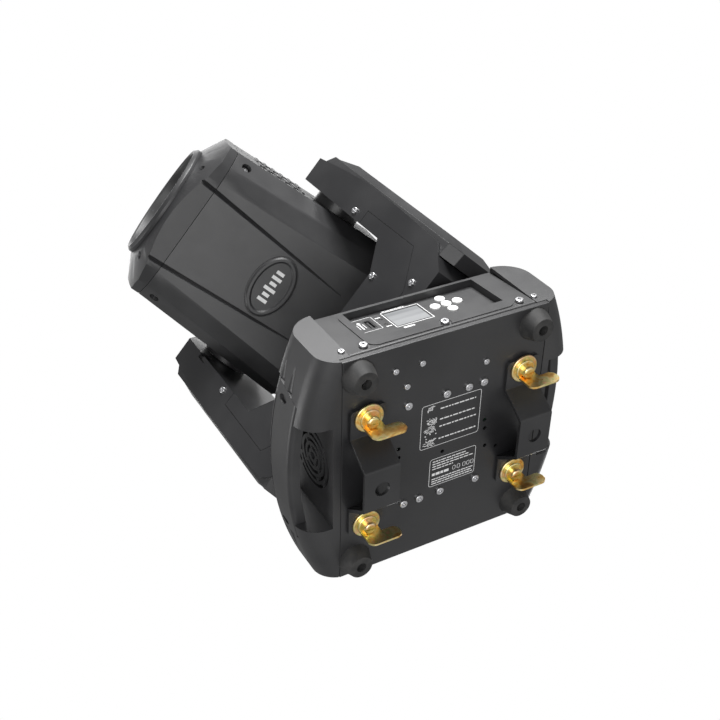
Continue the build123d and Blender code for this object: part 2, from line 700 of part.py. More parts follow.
def yoke_outline(grow=0.0):
    """Front outline of the whole yoke in X, Z; grow moves it outwards."""
    right = [(x + grow * (1 if x > arm_inner + 1 else -1), z_plate + z + (grow if z == arm_crest else
             -grow if z == 80.0 else 0.0)) for x, z in arm_outline]
    inner = [(70.0, z_floor + grow), (arm_inner - grow, z_plate + 169.0 + grow * 0.7)]
    half = [(0.0, z_plate + 80.0 - grow)] + list(reversed(right)) + list(reversed(inner))
    left = [(-x, z) for x, z in reversed(half) if x > 1e-6]
    return half + left


def arm_side_outline(grow=0.0):
    """Side outline of an arm in Y, Z, its top corners cut off round the tilt axis."""
    half = arm_half + grow
    top, crest = z_plate + arm_top + grow * 0.4, z_plate + arm_crest + grow
    low = z_plate + 80.0 - grow
    return [(-half, low), (half, low), (half, top), (half - 23.0, crest), (-half + 23.0, crest), (-half, top)]


def yoke_block(grow):
    front = slab_y(yoke_outline(grow), -arm_half - grow, arm_half + grow)
    return front & slab_x(arm_side_outline(grow), -200, 200)


service_sheet = 1.2


def service_outline(shrink=0.0):
    pts = [(0.0, 100.0 + shrink), (77.0 - shrink * 0.3, 100.0 + shrink), (112.0 - shrink, 124.0 + shrink * 0.5),
           (111.5 - shrink, 202.0 - shrink), (arm_inner + 0.01, 202.0 - shrink), (arm_inner + 0.01, 169.0),
           (70.0, yoke_floor), (0.0, yoke_floor)]
    pts = [(x, z + z_plate) for x, z in pts]
    return pts + [(-x, z) for x, z in reversed(pts) if x > 1e-6]


yoke_screw_places = [(sx * u, z_plate + z) for u, z in ((104.0, 217.0), (87.0, 98.0), (69.3, 143.6))
                     for sx in (-1, 1)]


def yoke_screw_bores():
    return [rod_y(screw_bore_r, -arm_half - 3, arm_half + 3, x, z) for x, z in yoke_screw_places]


def yoke_frame():
    body = yoke_block(0.0) - yoke_block(-yoke_wall)
    # the arms are open outwards, under their covers
    for sx in (-1, 1):
        a, b = sorted((sx * (cover_lip_u - 1.0), sx * 160.0))
        body -= block(a, b, -arm_half + yoke_wall, arm_half - yoke_wall, z_plate + 83.0,
                      z_plate + arm_crest - 2.0)
    # recesses and windows of the service covers
    for sy in (-1, 1):
        a, b = sorted((sy * (arm_half - service_sheet), sy * (arm_half + 1)))
        body -= slab_y(service_outline(), a, b)
        a, b = sorted((sy * (arm_half - yoke_wall - 1), sy * (arm_half + 1)))
        body -= block(-66.0, 66.0, a, b, z_plate + 108.0, z_plate + 141.0)
    body -= rod_z(pan_bearing_r + 0.02, z_yoke - 1, z_yoke + yoke_wall + 1)
    for sx in (-1, 1):
        a, b = sorted((sx * (arm_inner - 1), sx * (arm_inner + yoke_wall + 1)))
        body -= rod_x(tilt_bearing_r + 0.02, a, b, 0.0, z_tilt)
    for bore in yoke_screw_bores():
        body -= bore
    return body - tilt_lock_slot()


lock_low, lock_high = z_plate + 266.5, z_plate + 279.5
lock_travel = 6.0
lock_reach = 5.2            # notch width across the arm's front face


def tilt_lock_slot():
    """Notch in the inner front corner of the left arm."""
    return block(-arm_inner - lock_reach, -arm_inner + 1, -arm_half - 1, -arm_half + 10.0, lock_low, lock_high)


def tilt_lock():
    """Transport lock: a thumb tab in the notch, on a guide plate behind the sheet."""
    wall_y = -arm_half + yoke_wall + clear
    wall_u = -arm_inner - yoke_wall - clear
    tab = block(-arm_inner - lock_reach + clear, -arm_inner - 0.5, -arm_half + 0.8, wall_y + 2.0,
                lock_low + clear, lock_high - lock_travel - clear)
    guide = block(wall_u - 8.0, wall_u, wall_y, wall_y + 2.0, lock_low - 5.0, lock_high + 1.0)
    return tab + guide


def service_covers():
    front = slab_y(service_outline(seam), -arm_half, -arm_half + service_sheet)
    for bore in yoke_screw_bores():
        front -= bore
    return [front, mirror(front, Plane.XZ)]


def cover_section(u, half, low, high, cut):
    outline = [(-half, low + cut * 0.5), (-half + cut * 0.5, low), (half - cut * 0.5, low),
               (half, low + cut * 0.5), (half, high - cut), (half - cut, high), (-half + cut, high),
               (-half, high - cut)]
    return Plane.YZ.offset(u) * face_of([(y, z_plate + z) for y, z in outline])


def arm_cover():
    """Right-hand outer arm cover: a skirt in the frame's opening, a step, and a raised crowned panel."""
    inset = yoke_wall + clear
    half = arm_half - inset
    skirt = loft([cover_section(cover_lip_u, half, 84.0, arm_crest - 2.6, 23.0),
                  cover_section(cover_mid_u + 1.5, half - 1.5, 84.0, 318.0, 23.0)], ruled=True)
    panel = loft([cover_section(cover_mid_u + 1.5, half - 4.0, 88.0, 313.0, 23.0),
                  cover_section(cover_out_u, half - 13.0, 110.0, 288.0, 17.0)], ruled=True)
    hollow = loft([cover_section(cover_lip_u - 1, half - 2.5, 86.5, arm_crest - 5.5, 22.0),
                   cover_section(cover_mid_u, half - 6.5, 90.5, 311.0, 22.0)], ruled=True)
    hollow += loft([cover_section(cover_mid_u, half - 6.5, 90.5, 311.0, 22.0),
                    cover_section(cover_out_u - 2.5, half - 14.5, 111.0, 287.0, 17.0)], ruled=True)
    return skirt + panel - hollow


def tilt_bearings():
    u0 = arm_inner + 0.2
    right = pipe_x(tilt_bearing_r, tilt_shaft_r + running, u0, u0 + 7.0, 0.0, z_tilt)
    left = pipe_x(tilt_bearing_r, tilt_shaft_r + running, -u0 - 7.0, -u0, 0.0, z_tilt)
    return [right, left]


tilt_belt_u = -(arm_inner + 15.0)


def tilt_belt():
    loop = belt(tilt_pulley_r + clear, tilt_pinion_r + clear, tilt_motor_drop, 7.0)
    return Pos(tilt_belt_u, 0, z_tilt) * Rot(0, 90, 0) * loop


def tilt_motor():
    """The tilt motor lies across the yoke's foot, its shaft reaching into the left arm."""
    z = z_tilt - tilt_motor_drop
    half, cut = 17.5, 4.0
    outline = [(half - cut, half), (-half + cut, half), (-half, half - cut), (-half, -half + cut),
               (-half + cut, -half), (half - cut, -half), (half, -half + cut), (half, half - cut)]
    x0, x1 = tilt_belt_u - 17.5, tilt_belt_u - 4.6
    body = slab_x([(y, z_tilt - tilt_motor_drop + w) for y, w in outline], x0, x1)
    return body - rod_x(2.6, x0 - 1, x1 + 1, 0.0, z)


def tilt_pinion():
    z = z_tilt - tilt_motor_drop
    wheel = rod_x(tilt_pinion_r, tilt_belt_u - 3.6, tilt_belt_u + 4.0, 0.0, z)
    rim = rod_x(tilt_pinion_r + 1.2, tilt_belt_u + 4.0, tilt_belt_u + 5.0, 0.0, z)
    shaft = rod_x(2.5, tilt_belt_u - 14.0, tilt_belt_u + 4.0, 0.0, z)
    return wheel + rim + shaft


def yoke_screws():
    out = []
    for sy, turn in ((-1, Rot(90, 0, 0)), (1, Rot(-90, 0, 0))):
        out += screws_at([(x, sy * arm_half, z) for x, z in yoke_screw_places], turn, 5.0, yoke_screw_r)
    return out


# ---------------------------------------------------------------- head (drawn upright, tilt axis at Z 0)
front_section = [(0.0, 67.5), (49.6, 67.5), (66.7, 60.0), (81.6, 41.5), (83.5, 0.0)]
rear_section = [(0.0, 77.0), (62.0, 77.0), (80.0, 66.0), (91.0, 47.0), (91.5, 0.0)]
end_section = [(0.0, 62.0), (48.0, 62.0), (66.0, 50.0), (76.0, 36.0), (77.0, 0.0)]


def head_face(section, h, shrink=0.0):
    """Closed cross-section at height h; the badge faces are towards -Y and +Y."""
    pts = []
    for k, (u, m) in enumerate(section):
        slant = 0.55 if k in (1, 2) else 1.0
        pts.append((u - (shrink * slant if u > 0 else 0.0), m - (shrink if m > 0 else 0.0)))
    quarter = pts[1:-1]
    ring = [(u, -m) for u, m in quarter] + [(u, m) for u, m in reversed(quarter)]
    ring += [(-u, m) for u, m in quarter] + [(-u, -m) for u, m in reversed(quarter)]
    return Plane.XY.offset(h) * face_of(ring)


def head_hull(shrink):
    main = loft([head_face(rear_section, head_rear, shrink), head_face(front_section, head_seam, shrink)],
                ruled=True)
    tail = loft([head_face(end_section, head_end + shrink, shrink), head_face(rear_section, head_rear, shrink)],
                ruled=True)
    return main + tail


def badge_face_y(h):
    """Distance of the badge face from the head's axis at height h."""
    part = (h - head_seam) / (head_rear - head_seam)
    return front_section[0][1] + part * (rear_section[0][1] - front_section[0][1])


def face_plane(h, u=0.0, lift=0.0):
    """Plane on the badge face at height h, its normal outwards (-Y), its local X along the tilt axis."""
    lean = (rear_section[0][1] - front_section[0][1]) / (head_seam - head_rear)
    return Plane(origin=(u, -(badge_face_y(h) + lift), h), x_dir=(1, 0, 0), z_dir=(0, -1, lean))


def groove_cut(sign):
    """Tapering groove beside the raised centre panel, running back past the badge."""
    sections = []
    for h, u, w, d in ((head_seam + 30.0, 43.5, 4.6, 2.6), (head_seam, 42.0, 4.6, 2.6), (10.0, 34.5, 3.0, 1.6),
                       (-38.0, 31.0, 1.2, 0.4)):
        y = -badge_face_y(min(h, head_seam))
        tri = [(-w / 2, -2.0), (w / 2, -2.0), (w / 2, 0.0), (0.0, d), (-w / 2, 0.0)]
        plane = Plane(origin=(sign * u, y, h), x_dir=(1, 0, 0), z_dir=(0, 0, 1))
        sections.append(plane * face_of(tri))
    return loft(sections, ruled=True)


def vent_blocks(heights, half_high):
    """Blocks on both flanks of the head, two beside each other at each height."""
    return [block(*sorted((sx * 70.0, sx * 100.0)), *sorted((sy * 34.0, sy * 6.0)), h - half_high, h + half_high)
            for sx in (-1, 1) for sy in (-1, 1) for h in heights]


def vent_slot_cuts():
    return vent_blocks([vent_top - vent_pitch * k for k in range(vent_slots)], 2.4)


def vent_ribs():
    """Ribs that stand out between the slots."""
    skin = head_hull(-vent_rib_rise) - head_hull(head_wall / 2)
    heights = [vent_top + vent_pitch * (0.5 - k) for k in range(vent_slots + 1)]
    return [skin & rib for rib in vent_blocks(heights, 1.5)]


def head_screw_places():
    """Deep screw holes in the corner faces of the shells, and their direction out of the head."""
    out = []
    for sx in (-1, 1):
        for sy in (-1, 1):
            turn = Rot(0, 0, degrees(atan2(sy * 15.0, sx * 18.0))) * Rot(0, 90, 0)
            out.append(Pos(sx * 75.2, sy * 51.4, head_seam - 13.0) * turn)
    return out


def head_shells():
    outer = head_hull(0.0)
    hull = outer - head_hull(head_wall)
    deep = recess_screw_deep
    for place in head_screw_places():
        hull += (place * rod_z(6.8, -deep - 3.0, 4.0)) & outer
        hull -= place * rod_z(4.8, -deep, 6.0)
        hull -= place * rod_z(screw_bore_r, -deep - 4.0, 0.0)
    for rib in vent_ribs():
        hull += rib
    hull -= block(-100, 100, -100, 100, head_seam - 0.01, head_seam + 50)
    for sign in (-1, 1):
        cut = groove_cut(sign)
        hull -= cut
        hull -= mirror(cut, Plane.XZ)
    for cut in vent_slot_cuts():
        hull -= cut
    hull -= rod_x(hub_disc_r + clear, -120, 120)
    pocket = head_badge_blank(seam)
    hull -= pocket
    hull -= Rot(0, 0, 180) * pocket
    for k in range(9):
        x = -44.0 + 11.0 * k
        hull -= block(x - 2.5, x + 2.5, -34.0, 34.0, head_end - 1, head_end + head_wall + 1)
    upper = hull & block(-150, 150, -150, -seam / 2, -150, 200)
    lower = hull & block(-150, 150, seam / 2, 150, -150, 200)
    return upper, lower


def head_badge_blank(gap):
    plane = face_plane(badge_h)
    return extrude(plane * Ellipse(badge_long + gap, badge_short + gap), 1.2, both=True)


def badge_oval(lift, inset):
    return face_plane(badge_h, 0.0, lift) * Ellipse(badge_long - inset, badge_short - inset)


def head_badges():
    """Oval plates let into both badge faces, each with a raised bevelled rim and a blank field."""
    plate = extrude(face_plane(badge_h) * Ellipse(badge_long, badge_short), 1.0, both=True)
    rim = loft([badge_oval(0.9, 0.4), badge_oval(badge_rise, 2.0)], ruled=True)
    rim -= loft([badge_oval(0.8, 6.2), badge_oval(badge_rise + 0.1, 4.2)], ruled=True)
    plate += rim
    return [plate, Rot(0, 0, 180) * plate]


def front_cover():
    """Eight-sided front housing, bevelled like a flat cone towards the lens ring."""
    body = extrude(head_face(front_section, head_seam + seam), 40.0)
    slope = 0.52
    top = ring_face - 6.0
    cone = [(0.0, head_seam), (110.0, head_seam), (110.0, top - slope * (110.0 - ring_r)), (ring_r, top),
            (0.0, top)]
    body &= revolve(Plane.XZ * face_of(cone), Axis.Z)
    inner = extrude(head_face(front_section, head_seam, head_wall), 6.0)
    inner += rod_z(ring_inner_r + 1.0, head_seam, top + 5)
    body -= inner
    for sign in (-1, 1):
        cut = groove_cut(sign)
        body -= cut
        body -= mirror(cut, Plane.XZ)
    for sx in (-1, 1):
        for sy in (-1, 1):
            body -= rod_z(3.4, top - 12.0, top + 10, sx * 50.0, sy * 47.0)
    return body


def lens_ring():
    """Bright-lipped ring in the front cover; its skirt reaches back to the lens."""
    top = ring_face
    low = ring_face - 6.0
    foot = ring_face - lens_depth + lens_edge
    outline = [(ring_inner_r + 0.8, foot), (ring_inner_r + 0.8, low), (ring_r - 0.5, low),
               (ring_r - 0.5, top - 3.0), (ring_r - 3.5, top), (ring_inner_r + 1.0, top),
               (ring_inner_r - 0.6, top - 1.6), (ring_inner_r - 2.6, low - 6.0), (ring_inner_r - 2.6, foot)]
    return revolve(Plane.XZ * face_of(outline), Axis.Z)


lens_edge = 4.0


def front_lens():
    """Plano-convex front lens, set back behind the ring's skirt."""
    r = ring_inner_r - 0.6
    z0 = ring_face - lens_depth
    dome_r = 130.0
    dome = Pos(0, 0, z0 + lens_edge + 9.0 - dome_r) * Sphere(dome_r)
    return rod_z(r, z0, z0 + lens_edge) + (dome & rod_z(r - 4.0, z0 + lens_edge - 0.1, z0 + 30))


def optics_chassis():
    """Two side plates and three cross plates that carry the light engine, the wheels and the lenses."""
    plates = []
    for sx in (-1, 1):
        a, b = sorted((sx * 62.0, sx * 64.0))
        plates.append(block(a, b, -36.0, 36.0, -40.0, 92.0))
    body = plates[0] + plates[1]
    for z in (-4.0, 92.0):
        deck = block(-64.0, 64.0, -36.0, 36.0, z, z + 2.0)
        deck -= rod_z(24.0 if z < 50 else 30.0, z - 1, z + 3)
        body += deck
    return body


def led_engine():
    """Light engine: finned heat sink with a copper-cored LED board on it."""
    sink = block(-44.0, 44.0, -34.0, 34.0, -22.0, -16.0)
    for k in range(12):
        x = -42.0 + 7.6 * k
        sink += block(x - 0.8, x + 0.8, -34.0, 34.0, -46.0, -21.5)
    return sink + rod_z(18.0, -16.5, -8.0) + block(-10, 10, -10, 10, -8.5, -6.0)


wheel_x = 26.5              # wheels' shaft from the light path
wheel_r = 34.0
wheel_shaft_r = 2.5


def wheel_disc(z, holes):
    """Filter or pattern wheel beside the light path, its windows passing over the beam."""
    bore_r = wheel_shaft_r + running
    disc = pipe_z(wheel_r, bore_r, z, z + 1.6)
    for k in range(holes):
        angle = 2 * pi * k / holes
        disc -= rod_z(6.5, z - 1, z + 3, -wheel_x * cos(angle), -wheel_x * sin(angle))
    return Pos(wheel_x, 0, 0) * (disc + pipe_z(6.0, bore_r, z + 1.5, z + 5.0))


def wheel_motor():
    """Motor on a bracket from the side plate, its shaft through both wheels."""
    body = rod_z(9.0, 30.0, 44.0, wheel_x) + rod_z(wheel_shaft_r, 4.0, 31.0, wheel_x)
    return body + block(wheel_x - 6.0, 62.0, -7.0, 7.0, 44.0, 46.0)


rail_r = 2.5
rail_ys = (-31.0, 31.0)


def focus_carriage():
    plate = block(-28.0, 28.0, -36.0, 36.0, 60.0, 62.5) - rod_z(21.0, 59, 64)
    for y in rail_ys:
        plate += pipe_z(4.5, rail_r + running, 58.0, 68.0, 0.0, y)
        plate -= rod_z(rail_r + running, 50, 70, 0.0, y)
    return plate


def focus_lens():
    lens = rod_z(20.9, 60.6, 62.0)
    dome = Pos(0, 0, 62.0 + 6.0 - 50.0) * Sphere(50.0)
    return lens + (dome & rod_z(19.0, 61.9, 75.0))


def focus_rails():
    return [rod_z(rail_r, -2.0, 92.0, 0.0, y) for y in rail_ys]


def tilt_hubs():
    """Stub shafts on both sides of the head; the left one carries the belt pulley."""
    out = []
    for sx in (-1, 1):
        inner, outer = 64.0, arm_inner - 1.0
        tip = arm_inner + (22.0 if sx < 0 else 12.0)
        a, b = sorted((sx * inner, sx * outer))
        hub = rod_x(hub_disc_r, a, b)
        a, b = sorted((sx * inner, sx * tip))
        hub += rod_x(tilt_shaft_r, a, b)
        if sx < 0:
            hub += rod_x(tilt_pulley_r, tilt_belt_u - 4.0, tilt_belt_u + 4.0)
            hub += rod_x(tilt_pulley_r + 2.0, tilt_belt_u + 4.0, tilt_belt_u + 5.0)
        hub -= rod_x(tilt_shaft_bore_r, -200, 200)
        out.append(hub)
    return out


def head_fan_frame():
    frame = block(-30.0, 30.0, -30.0, 30.0, -63.0, -50.0) - rod_z(27.7, -64, -49)
    spider = rod_z(rotor_hub_r, -52.0, -50.0)
    for k in range(3):
        spider += Rot(0, 0, 120 * k) * block(5.0, 29.0, -1.5, 1.5, -52.0, -50.0)
    return frame + spider


def head_fan_rotor():
    rotor = rod_z(rotor_hub_r, -62.4, -52.5)
    for k in range(7):
        blade = Pos((rotor_hub_r + rotor_r) / 2 - 0.5, 0, -57.4) * Rot(40, 0, 0) * Box(
            rotor_r - rotor_hub_r + 1.0, 9.0, 1.4)
        rotor += Rot(0, 0, 360 / 7 * k) * blade
    return rotor & rod_z(rotor_r, -62.4, -52.5)


def head_screws():
    return [place * Pos(0, 0, -recess_screw_deep) * pan_screw(3.0) for place in head_screw_places()]


# ---------------------------------------------------------------- assembly
to_yoke = Rot(0, 0, rest_pan)
to_head = to_yoke * Pos(0, 0, z_tilt) * Rot(rest_tilt, 0, 0)


def base_nodes():
    right = side_shell()
    grip = carry_handle()
    nodes = {
        "bottom_plate": bottom_plate(),
        "base_top_cover": base_top_cover(),
        "side_shell_right": right,
        "side_shell_left": mirror(right, Plane.YZ),
        "carry_handles": solids(grip, mirror(grip, Plane.YZ)),
        "front_panel": front_panel(),
        "control_plate": control_plate(),
        "display": display(),
        "usb_port": usb_port(),
        "status_leds": solids(status_leds()),
        "rear_panel": rear_panel(),
        "rear_sockets": solids(power_sockets(), data_sockets()),
        "fuse_holder": fuse_holder(),
        "rubber_feet": solids(rubber_feet()),
        "omega_brackets": solids(omega_brackets()),
        "fan_frames": solids(fan_frame(1), fan_frame(-1)),
        "fan_rotor_right": fan_rotor(1),
        "fan_rotor_left": fan_rotor(-1),
        "power_supply": power_supply(),
        "circuit_boards": solids(control_board(), driver_board()),
        "base_screws": solids(base_screws()),
        "pan_hub": pan_hub(),
        "pan_ring_pulley": pan_ring_pulley(),
    }
    for name in button_offsets:
        nodes[name] = button(name)
    for name, (x, y) in cam_places.items():
        nodes[name] = camlock(x, y)
    return nodes


def yoke_nodes():
    cover = arm_cover()
    return {
        "yoke_frame": yoke_frame(),
        "service_covers": solids(service_covers()),
        "arm_cover_right": cover,
        "arm_cover_left": mirror(cover, Plane.YZ),
        "yoke_bearings": solids(pan_bearing(), tilt_bearings()),
        "drive_belts": solids(pan_belt(), tilt_belt()),
        "drive_motors": solids(pan_motor(), tilt_motor()),
        "pan_pinion": pan_pinion(),
        "tilt_pinion": tilt_pinion(),
        "tilt_lock": tilt_lock(),
        "yoke_screws": solids(yoke_screws()),
    }


def head_nodes():
    upper, lower = head_shells()
    return {
        "head_shell_upper": upper,
        "head_shell_lower": lower,
        "head_badges": solids(head_badges()),
        "front_cover": front_cover(),
        "lens_ring": lens_ring(),
        "front_lens": front_lens(),
        "optics_chassis": solids(optics_chassis(), focus_rails()),
        "led_engine": led_engine(),
        "colour_wheel": wheel_disc(6.0, 8),
        "gobo_wheel": wheel_disc(20.0, 7),
        "wheel_motor": wheel_motor(),
        "focus_carriage": focus_carriage(),
        "focus_lens": focus_lens(),
        "tilt_hubs": solids(tilt_hubs()),
        "head_fan_frame": head_fan_frame(),
        "head_fan_rotor": head_fan_rotor(),
        "head_screws": solids(head_screws()),
    }


def main():
    os.makedirs("parts", exist_ok=True)
    nodes = base_nodes()
    nodes.update({name: to_yoke * shape for name, shape in yoke_nodes().items()})
    nodes.update({name: to_head * shape for name, shape in head_nodes().items()})
    for name, shape in nodes.items():
        export_step(shape, f"parts/{name}.step")
    print(len(nodes), "nodes written")


main()
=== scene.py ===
import json
import math

import bpy
import numpy as np
from mathutils import Euler, Matrix, Vector


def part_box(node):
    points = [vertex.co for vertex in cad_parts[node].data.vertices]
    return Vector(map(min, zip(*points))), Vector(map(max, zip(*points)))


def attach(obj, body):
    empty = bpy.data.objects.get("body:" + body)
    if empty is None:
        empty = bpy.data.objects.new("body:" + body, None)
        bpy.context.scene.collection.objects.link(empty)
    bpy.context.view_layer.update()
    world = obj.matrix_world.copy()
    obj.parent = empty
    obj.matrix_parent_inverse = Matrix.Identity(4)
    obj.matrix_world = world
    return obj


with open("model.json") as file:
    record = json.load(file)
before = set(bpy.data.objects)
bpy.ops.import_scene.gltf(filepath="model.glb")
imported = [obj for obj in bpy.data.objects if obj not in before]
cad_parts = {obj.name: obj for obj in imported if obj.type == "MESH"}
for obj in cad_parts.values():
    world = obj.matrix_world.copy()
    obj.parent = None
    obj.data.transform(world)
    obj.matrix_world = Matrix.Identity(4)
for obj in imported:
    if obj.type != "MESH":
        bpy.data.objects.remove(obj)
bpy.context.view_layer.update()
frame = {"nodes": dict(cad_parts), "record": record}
nodes = frame["nodes"]
print("frame loaded:", len(nodes), "nodes")

mm = 0.001


# shader maths written as plain expressions

class Wire:
    # one output socket; arithmetic on it adds Math nodes
    def __init__(self, paint, socket):
        self.paint = paint
        self.socket = socket

    def maths(self, operation, *others):
        return self.paint.node("ShaderNodeMath", {"operation": operation}, dict(enumerate((self, *others))))

    def __add__(self, other):
        return self.maths("ADD", other)

    def __radd__(self, other):
        return self.paint.node("ShaderNodeMath", {"operation": "ADD"}, {0: other, 1: self})

    def __sub__(self, other):
        return self.maths("SUBTRACT", other)

    def __rsub__(self, other):
        return self.paint.node("ShaderNodeMath", {"operation": "SUBTRACT"}, {0: other, 1: self})

    def __mul__(self, other):
        return self.maths("MULTIPLY", other)

    def clamped(self):
        return self.paint.node("ShaderNodeClamp", {}, {0: self})

    def between(self, low, high):
        # 0 below low, 1 above high, smooth between
        return self.paint.node("ShaderNodeMapRange", {"interpolation_type": "SMOOTHSTEP"},
                               {0: self, 1: low, 2: high, 3: 0.0, 4: 1.0})


class Paint:
    # one material: its node tree, and the few calls that fill it
    def __init__(self, name):
        self.material = bpy.data.materials.new(name)
        self.material.use_nodes = True
        self.tree = self.material.node_tree
        self.tree.nodes.clear()
        self.place = self.node("ShaderNodeTexCoord", {}, {}, out="Object")

    def node(self, kind, settings, inputs, out=0):
        made = self.tree.nodes.new(kind)
        for key, value in settings.items():
            if key == "stops":
                ramp = made.color_ramp
                while len(ramp.elements) < len(value):
                    ramp.elements.new(0.5)
                for element, (where, colour) in zip(ramp.elements, value):
                    element.position = where
                    element.color = (*colour, 1.0)
            else:
                setattr(made, key, value)
        for key, value in inputs.items():
            if isinstance(value, Wire):
                self.tree.links.new(value.socket, made.inputs[key])
            else:
                made.inputs[key].default_value = value
        return Wire(self, made.outputs[out])

    def noise(self, scale, detail=3.0, roughness=0.55, place=None):
        return self.node("ShaderNodeTexNoise", {}, {"Vector": place or self.place, "Scale": scale,
                                                    "Detail": detail, "Roughness": roughness})

    def cells(self, scale):
        return self.node("ShaderNodeTexVoronoi", {}, {"Vector": self.place, "Scale": scale})

    def mix(self, factor, first, second):
        return self.node("ShaderNodeMix", {"data_type": "RGBA"}, {0: factor, 6: first, 7: second}, out=2)

    def ramp(self, factor, *stops):
        return self.node("ShaderNodeValToRGB", {"stops": stops}, {0: factor})

    def stretched(self, x, y, z):
        return self.node("ShaderNodeMapping", {}, {"Vector": self.place, "Scale": (x, y, z)})

    def bump(self, height, distance, strength=1.0):
        return self.node("ShaderNodeBump", {}, {"Strength": strength, "Distance": distance, "Height": height})

    def surface(self, **sockets):
        inputs = {name.replace("_", " "): value for name, value in sockets.items()}
        shader = self.node("ShaderNodeBsdfPrincipled", {}, inputs)
        self.node_output(shader)
        return self.material

    def node_output(self, shader):
        made = self.tree.nodes.new("ShaderNodeOutputMaterial")
        self.tree.links.new(shader.socket, made.inputs["Surface"])


# finishes of the materials

mouldedBlack = {"dark": (0.016, 0.016, 0.017, 1), "light": (0.03, 0.03, 0.031, 1), "rough": 0.43,
                "grainScale": 1500.0, "grainDepth": 0.00009}
coatedSheet = {"dark": (0.013, 0.013, 0.014, 1), "light": (0.022, 0.022, 0.023, 1), "rough": 0.36,
               "peelScale": 700.0, "peelDepth": 0.00005}


def mouldedBlackPlastic(name="mouldedBlackPlastic", look=mouldedBlack):
    # fine spark-eroded texture, slightly uneven sheen, a few pale dust specks
    p = Paint(name)
    grain = p.noise(look["grainScale"], 2.0)
    broad = p.noise(14.0, 4.0)
    handled = p.noise(55.0, 5.0)
    specks = 1.0 - p.cells(420.0).between(0.04, 0.09)
    dust = specks * handled.between(0.55, 0.7)
    colour = p.mix(broad.between(0.3, 0.7), look["dark"], look["light"])
    colour = p.mix(dust * 0.1, colour, (0.25, 0.25, 0.25, 1))
    rough = look["rough"] + (broad - 0.5) * 0.12 + (handled - 0.5) * 0.1 + (grain - 0.5) * 0.1
    return p.surface(Base_Color=colour, Roughness=rough, Normal=p.bump(grain, look["grainDepth"], 0.6))


def coatedSheetBlack(name="coatedSheetBlack", look=coatedSheet):
    # powder coat: orange peel of two sizes and an uneven satin
    p = Paint(name)
    peel = p.noise(look["peelScale"], 2.0) + p.noise(look["peelScale"] * 3, 1.0) * 0.4
    broad = p.noise(9.0, 3.0)
    scuff = p.noise(1.0, 4.0, place=p.stretched(30, 240, 240))
    colour = p.mix(broad.between(0.35, 0.65), look["dark"], look["light"])
    rough = look["rough"] + (broad - 0.5) * 0.14 - scuff.between(0.62, 0.7) * 0.06
    return p.surface(Base_Color=colour, Roughness=rough, Normal=p.bump(peel, look["peelDepth"], 0.5))


def yellowZinc():
    # passivated zinc: gold running to straw, green and rose over small distances
    p = Paint("yellowZinc")
    drift = p.noise(70.0, 3.0)
    fine = p.noise(300.0, 3.0)
    tone = (drift * 0.75 + fine * 0.25).between(0.28, 0.72)
    colour = p.ramp(tone, (0.0, (0.72, 0.34, 0.10)), (0.3, (0.92, 0.62, 0.20)), (0.52, (0.95, 0.78, 0.42)),
                    (0.7, (0.70, 0.66, 0.26)), (0.86, (0.90, 0.56, 0.30)), (1.0, (0.95, 0.80, 0.52)))
    brushed = p.noise(1.0, 3.0, place=p.stretched(120, 1600, 600))
    rough = 0.24 + fine * 0.12
    return p.surface(Base_Color=colour, Metallic=1.0, Roughness=rough, Normal=p.bump(brushed, 0.00004, 0.4))


def platedSteel():
    p = Paint("platedSteel")
    wear = p.noise(500.0, 3.0)
    colour = p.mix(wear, (0.42, 0.42, 0.43, 1), (0.75, 0.75, 0.76, 1))
    return p.surface(Base_Color=colour, Metallic=1.0, Roughness=0.22 + wear * 0.2,
                     Normal=p.bump(wear, 0.00003, 0.5))


def bareAluminium():
    p = Paint("bareAluminium")
    lines = p.noise(1.0, 3.0, place=p.stretched(60, 900, 900))
    blotch = p.noise(60.0, 3.0)
    colour = p.mix(blotch, (0.60, 0.60, 0.61, 1), (0.78, 0.78, 0.79, 1))
    return p.surface(Base_Color=colour, Metallic=1.0, Roughness=0.3 + lines * 0.15,
                     Normal=p.bump(lines, 0.00003, 0.5))


def mouldedRubber():
    # matt black with a faint bloom
    p = Paint("mouldedRubber")
    bloom = p.noise(90.0, 5.0)
    grain = p.noise(1100.0, 2.0)
    colour = p.mix(bloom.between(0.35, 0.75), (0.014, 0.014, 0.014, 1), (0.036, 0.035, 0.034, 1))
    return p.surface(Base_Color=colour, Roughness=0.62 + bloom * 0.2, Normal=p.bump(grain, 0.0001, 0.5))


def whiteKey():
    p = Paint("whiteKey")
    shade = p.noise(160.0, 3.0)
    colour = p.mix(shade, (0.78, 0.78, 0.77, 1), (0.9, 0.9, 0.89, 1))
    return p.surface(Base_Color=colour, Roughness=0.34 + shade * 0.08, Normal=p.bump(shade, 0.00003, 0.3))


def displayWindow():
    # unlit display: pale grey field, faintly banded, under a clear glossy window
    p = Paint("displayWindow")
    bands = p.noise(1.0, 2.0, place=p.stretched(5, 5, 90))
    colour = p.mix(bands.between(0.3, 0.7), (0.17, 0.175, 0.18, 1), (0.27, 0.275, 0.28, 1))
    return p.surface(Base_Color=colour, Roughness=0.16 + bands * 0.04, Coat_Weight=0.4)


def coatedLens():
    p = Paint("coatedLens")
    film = p.noise(12.0, 3.0)
    colour = p.mix(film, (0.80, 0.84, 0.95, 1), (0.95, 0.97, 1.0, 1))
    return p.surface(Base_Color=colour, Roughness=0.02 + film * 0.02, Transmission_Weight=1.0, IOR=1.5)


def insertPlastic():
    p = Paint("insertPlastic")
    grain = p.noise(900.0, 2.0)
    shade = p.noise(40.0, 3.0)
    colour = p.mix(shade, (0.012, 0.012, 0.013, 1), (0.024, 0.024, 0.025, 1))
    return p.surface(Base_Color=colour, Roughness=0.34 + shade * 0.1, Normal=p.bump(grain, 0.00005, 0.4))


